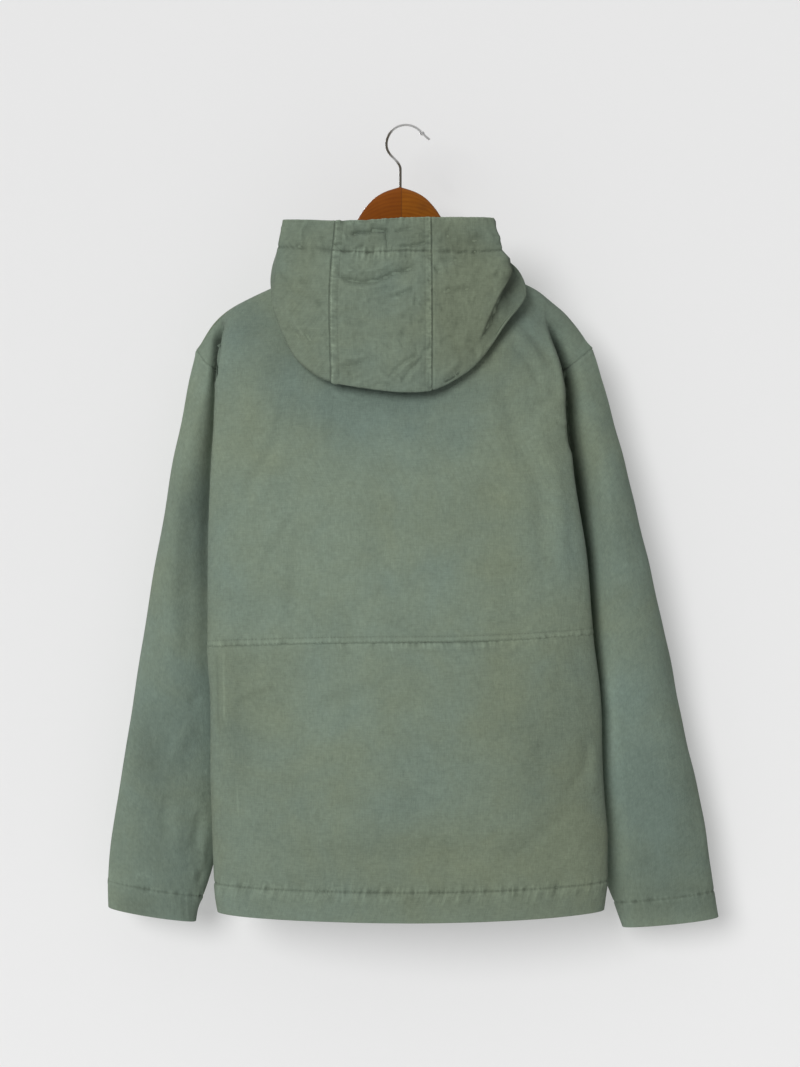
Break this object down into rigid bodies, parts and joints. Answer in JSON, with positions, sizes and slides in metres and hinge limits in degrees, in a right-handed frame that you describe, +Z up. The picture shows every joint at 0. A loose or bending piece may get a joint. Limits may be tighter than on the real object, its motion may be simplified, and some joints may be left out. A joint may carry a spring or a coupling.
{
  "type": "parka on a hanger",
  "caption": "Hooded cotton parka hanging on a contoured wooden hanger with a wire hook; hood down at the back, waist seam, turned hem and cuffs, plain zip front.",
  "frame": {"origin": "inside top of the hanger's hook, where a rail carries it", "axes": "+Z up, +Y towards the garment's back, +X towards the wearer's left"},
  "size_m": [0.7426, 0.1618, 0.9703],
  "materials": {
    "cloth": "washed matte cotton, faded green",
    "zip_tape": "matte woven tape",
    "zip_metal": "dull aged metal",
    "wood": "satin varnish, red-brown",
    "hook_metal": "bright wire"
  },
  "bodies": {
    "coat": {"hanger_wood": "wood", "hanger_hook": "hook_metal", "back_upper": "cloth", "back_lower": "cloth", "front_left": "cloth", "front_right": "cloth", "sleeve_left": "cloth", "sleeve_right": "cloth", "hood_centre": "cloth", "hood_left": "cloth", "hood_right": "cloth", "zip_tape_left": "zip_tape", "zip_tape_right": "zip_tape", "zip_chain": "zip_metal", "zip_slider": "zip_metal"},
    "pull": {"zip_pull": "zip_metal"}
  },
  "joints": [
    {"name": "zip_pull_hinge", "type": "hinge", "parent": "coat", "child": "pull", "pos_m": [0.00722, -0.07111, -0.2465], "axis": [-1, 0, 0], "range_deg": [0, 150]}
  ]
}
